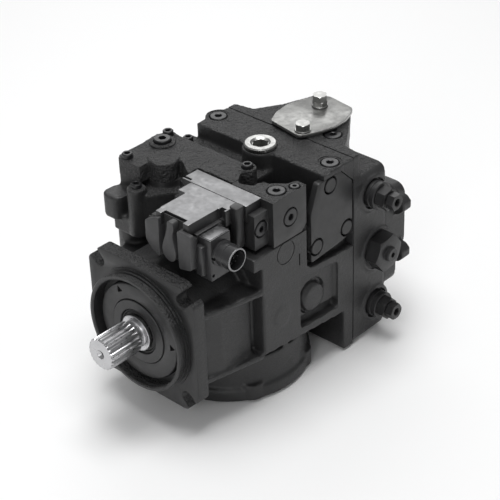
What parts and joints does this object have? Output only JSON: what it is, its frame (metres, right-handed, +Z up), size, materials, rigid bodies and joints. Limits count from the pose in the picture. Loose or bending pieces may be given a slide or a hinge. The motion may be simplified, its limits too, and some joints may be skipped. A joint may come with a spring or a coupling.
{
  "type": "axial piston pump",
  "caption": "Variable displacement axial piston pump with a four-slot flange, splined shaft, electric displacement control, end cap with valve cartridges and covered top port.",
  "frame": {"origin": "on the shaft axis, in the front face of the mounting flange", "axes": "+Y from the flange towards the end cap, +X towards the side with the valve cartridges, +Z up"},
  "size_m": [0.224, 0.373, 0.2494],
  "materials": {
    "black_paint": "satin black paint over fine-machined and cast iron",
    "black_cast": "satin black paint over rough sand-cast texture",
    "bright_steel": "bare machined steel",
    "zinc_plate": "bright zinc plating",
    "machined_aluminium": "satin machined face",
    "black_plastic": "moulded, fine grain",
    "seal_rubber": "moulded seal",
    "gasket_fibre": "coated fibre sheet",
    "bearing_bronze": "lead bronze running surface",
    "hardened_steel": "ground and hardened"
  },
  "bodies": {
    "root": {"housing": "black_paint", "end_cap": "black_paint", "end_cap_gasket": "gasket_fibre", "bearing_cover": "black_paint", "seal_carrier": "black_paint", "shaft_seal": "seal_rubber", "top_cover": "black_cast", "valve_plate": "bearing_bronze", "side_cover": "black_paint", "bottom_cover": "black_paint", "port_cover": "zinc_plate", "fill_plug": "zinc_plate", "control_body": "machined_aluminium", "torque_motor_body": "machined_aluminium", "torque_motor_cover": "black_plastic", "connector_shell": "black_plastic", "connector_insert": "black_plastic", "charge_relief_valve": "black_paint", "rear_cover": "black_paint", "front_bearing_race": "hardened_steel", "rear_bearing_bush": "bearing_bronze", "cradle_bearing_left": "bearing_bronze", "cradle_bearing_right": "bearing_bronze", "multifunction_valve_upper": "black_paint", "multifunction_valve_lower": "black_paint"},
    "shaft": {"drive_shaft": "bright_steel", "cylinder_block": "hardened_steel", "ball_guide": "hardened_steel", "block_spring": "hardened_steel", "charge_pump_inner_rotor": "hardened_steel"},
    "bearing_cage": {"front_bearing_cage": "hardened_steel"},
    "outer_rotor": {"charge_pump_outer_rotor": "hardened_steel"},
    "swash": {"swashplate": "hardened_steel"},
    "retainer": {"slipper_retainer": "bearing_bronze"},
    "servo": {"servo_piston": "hardened_steel"},
    "slider": {"slider_block": "hardened_steel"},
    "link": {"feedback_link": "hardened_steel"},
    "spool": {"control_spool": "hardened_steel"},
    "upper_bypass": {"bypass_hex_upper": "bright_steel"},
    "lower_bypass": {"bypass_hex_lower": "bright_steel"},
    "poppet": {"relief_poppet": "hardened_steel"},
    "slipper_1": {"slipper_1": "bearing_bronze"},
    "piston_1": {"piston_1": "hardened_steel"},
    "slipper_2": {"slipper_2": "bearing_bronze"},
    "piston_2": {"piston_2": "hardened_steel"},
    "slipper_3": {"slipper_3": "bearing_bronze"},
    "piston_3": {"piston_3": "hardened_steel"},
    "slipper_4": {"slipper_4": "bearing_bronze"},
    "piston_4": {"piston_4": "hardened_steel"},
    "slipper_5": {"slipper_5": "bearing_bronze"},
    "piston_5": {"piston_5": "hardened_steel"},
    "slipper_6": {"slipper_6": "bearing_bronze"},
    "piston_6": {"piston_6": "hardened_steel"},
    "slipper_7": {"slipper_7": "bearing_bronze"},
    "piston_7": {"piston_7": "hardened_steel"},
    "slipper_8": {"slipper_8": "bearing_bronze"},
    "piston_8": {"piston_8": "hardened_steel"},
    "slipper_9": {"slipper_9": "bearing_bronze"},
    "piston_9": {"piston_9": "hardened_steel"}
  },
  "joints": [
    {"name": "shaft_spin", "type": "hinge", "parent": "root", "child": "shaft", "pos_m": [0, 0, 0], "axis": [0, 1, 0], "continuous": true},
    {"name": "swash_tilt", "type": "hinge", "parent": "root", "child": "swash", "pos_m": [0, 0.106, 0], "axis": [1, 0, 0], "range_deg": [-17, 17], "stiffness_Nm_per_rad": 4},
    {"name": "spool_slide", "type": "slide", "parent": "root", "child": "spool", "axis": [1, 0, 0], "range_m": [-0.003, 0.003], "stiffness_N_per_m": 2000},
    {"name": "upper_bypass_turn", "type": "hinge", "parent": "root", "child": "upper_bypass", "pos_m": [0.1, 0.2505, 0.075], "axis": [1, 0, 0], "range_deg": [0, 1080]},
    {"name": "lower_bypass_turn", "type": "hinge", "parent": "root", "child": "lower_bypass", "pos_m": [0.1, 0.256, -0.0635], "axis": [1, 0, 0], "range_deg": [0, 1080]},
    {"name": "relief_lift", "type": "slide", "parent": "root", "child": "poppet", "axis": [1, 0, 0], "range_m": [0, 0.003], "stiffness_N_per_m": 8000},
    {"name": "cage_spin", "type": "hinge", "parent": "root", "child": "bearing_cage", "pos_m": [0, 0, 0], "axis": [0, 1, 0], "continuous": true},
    {"name": "outer_rotor_spin", "type": "hinge", "parent": "root", "child": "outer_rotor", "pos_m": [0.0025, 0, 0], "axis": [0, 1, 0], "continuous": true},
    {"name": "retainer_spin", "type": "hinge", "parent": "swash", "child": "retainer", "pos_m": [0, 0.106, 0], "axis": [0, 1, 0], "continuous": true},
    {"name": "servo_slide", "type": "slide", "parent": "root", "child": "servo", "axis": [0, 0, 1], "range_m": [-0.0091, 0.0091]},
    {"name": "slider_turn", "type": "hinge", "parent": "swash", "child": "slider", "pos_m": [-0.084, 0.076, 0], "axis": [1, 0, 0], "range_deg": [-17.5, 17.5]},
    {"name": "link_turn", "type": "hinge", "parent": "root", "child": "link", "pos_m": [-0.046, 0.106, 0.1], "axis": [1, 0, 0], "range_deg": [-18, 18]},
    {"name": "slipper_1_turn", "type": "hinge", "parent": "retainer", "child": "slipper_1", "pos_m": [0, 0.106, 0.04085], "axis": [0, 1, 0], "continuous": true},
    {"name": "piston_1_swivel", "type": "hinge", "parent": "slipper_1", "child": "piston_1", "pos_m": [0, 0.106, 0.04085], "axis": [1, 0, 0], "range_deg": [-17.5, 17.5]},
    {"name": "slipper_2_turn", "type": "hinge", "parent": "retainer", "child": "slipper_2", "pos_m": [0.02626, 0.106, 0.03129], "axis": [0, 1, 0], "continuous": true},
    {"name": "piston_2_swivel", "type": "hinge", "parent": "slipper_2", "child": "piston_2", "pos_m": [0.02626, 0.106, 0.03129], "axis": [1, 0, 0], "range_deg": [-17.5, 17.5]},
    {"name": "slipper_3_turn", "type": "hinge", "parent": "retainer", "child": "slipper_3", "pos_m": [0.04023, 0.106, 0.00709], "axis": [0, 1, 0], "continuous": true},
    {"name": "piston_3_swivel", "type": "hinge", "parent": "slipper_3", "child": "piston_3", "pos_m": [0.04023, 0.106, 0.00709], "axis": [1, 0, 0], "range_deg": [-17.5, 17.5]},
    {"name": "slipper_4_turn", "type": "hinge", "parent": "retainer", "child": "slipper_4", "pos_m": [0.03538, 0.106, -0.02042], "axis": [0, 1, 0], "continuous": true},
    {"name": "piston_4_swivel", "type": "hinge", "parent": "slipper_4", "child": "piston_4", "pos_m": [0.03538, 0.106, -0.02042], "axis": [1, 0, 0], "range_deg": [-17.5, 17.5]},
    {"name": "slipper_5_turn", "type": "hinge", "parent": "retainer", "child": "slipper_5", "pos_m": [0.01397, 0.106, -0.03839], "axis": [0, 1, 0], "continuous": true},
    {"name": "piston_5_swivel", "type": "hinge", "parent": "slipper_5", "child": "piston_5", "pos_m": [0.01397, 0.106, -0.03839], "axis": [1, 0, 0], "range_deg": [-17.5, 17.5]},
    {"name": "slipper_6_turn", "type": "hinge", "parent": "retainer", "child": "slipper_6", "pos_m": [-0.01397, 0.106, -0.03839], "axis": [0, 1, 0], "continuous": true},
    {"name": "piston_6_swivel", "type": "hinge", "parent": "slipper_6", "child": "piston_6", "pos_m": [-0.01397, 0.106, -0.03839], "axis": [1, 0, 0], "range_deg": [-17.5, 17.5]},
    {"name": "slipper_7_turn", "type": "hinge", "parent": "retainer", "child": "slipper_7", "pos_m": [-0.03538, 0.106, -0.02042], "axis": [0, 1, 0], "continuous": true},
    {"name": "piston_7_swivel", "type": "hinge", "parent": "slipper_7", "child": "piston_7", "pos_m": [-0.03538, 0.106, -0.02042], "axis": [1, 0, 0], "range_deg": [-17.5, 17.5]},
    {"name": "slipper_8_turn", "type": "hinge", "parent": "retainer", "child": "slipper_8", "pos_m": [-0.04023, 0.106, 0.00709], "axis": [0, 1, 0], "continuous": true},
    {"name": "piston_8_swivel", "type": "hinge", "parent": "slipper_8", "child": "piston_8", "pos_m": [-0.04023, 0.106, 0.00709], "axis": [1, 0, 0], "range_deg": [-17.5, 17.5]},
    {"name": "slipper_9_turn", "type": "hinge", "parent": "retainer", "child": "slipper_9", "pos_m": [-0.02626, 0.106, 0.03129], "axis": [0, 1, 0], "continuous": true},
    {"name": "piston_9_swivel", "type": "hinge", "parent": "slipper_9", "child": "piston_9", "pos_m": [-0.02626, 0.106, 0.03129], "axis": [1, 0, 0], "range_deg": [-17.5, 17.5]}
  ],
  "couplings": [
    {"joint": "cage_spin", "follows": "shaft_spin", "ratio": 0.44},
    {"joint": "outer_rotor_spin", "follows": "shaft_spin", "ratio": 0.85714},
    {"joint": "retainer_spin", "follows": "shaft_spin", "ratio": 1},
    {"joint": "servo_slide", "follows": "swash_tilt", "m_per_rad": -0.03},
    {"joint": "slider_turn", "follows": "swash_tilt", "ratio": -1},
    {"joint": "link_turn", "follows": "swash_tilt", "ratio": -1.01},
    {"joint": "slipper_1_turn", "follows": "shaft_spin", "ratio": -1},
    {"joint": "piston_1_swivel", "follows": "swash_tilt", "ratio": -1},
    {"joint": "slipper_2_turn", "follows": "shaft_spin", "ratio": -1},
    {"joint": "piston_2_swivel", "follows": "swash_tilt", "ratio": -1},
    {"joint": "slipper_3_turn", "follows": "shaft_spin", "ratio": -1},
    {"joint": "piston_3_swivel", "follows": "swash_tilt", "ratio": -1},
    {"joint": "slipper_4_turn", "follows": "shaft_spin", "ratio": -1},
    {"joint": "piston_4_swivel", "follows": "swash_tilt", "ratio": -1},
    {"joint": "slipper_5_turn", "follows": "shaft_spin", "ratio": -1},
    {"joint": "piston_5_swivel", "follows": "swash_tilt", "ratio": -1},
    {"joint": "slipper_6_turn", "follows": "shaft_spin", "ratio": -1},
    {"joint": "piston_6_swivel", "follows": "swash_tilt", "ratio": -1},
    {"joint": "slipper_7_turn", "follows": "shaft_spin", "ratio": -1},
    {"joint": "piston_7_swivel", "follows": "swash_tilt", "ratio": -1},
    {"joint": "slipper_8_turn", "follows": "shaft_spin", "ratio": -1},
    {"joint": "piston_8_swivel", "follows": "swash_tilt", "ratio": -1},
    {"joint": "slipper_9_turn", "follows": "shaft_spin", "ratio": -1},
    {"joint": "piston_9_swivel", "follows": "swash_tilt", "ratio": -1}
  ]
}
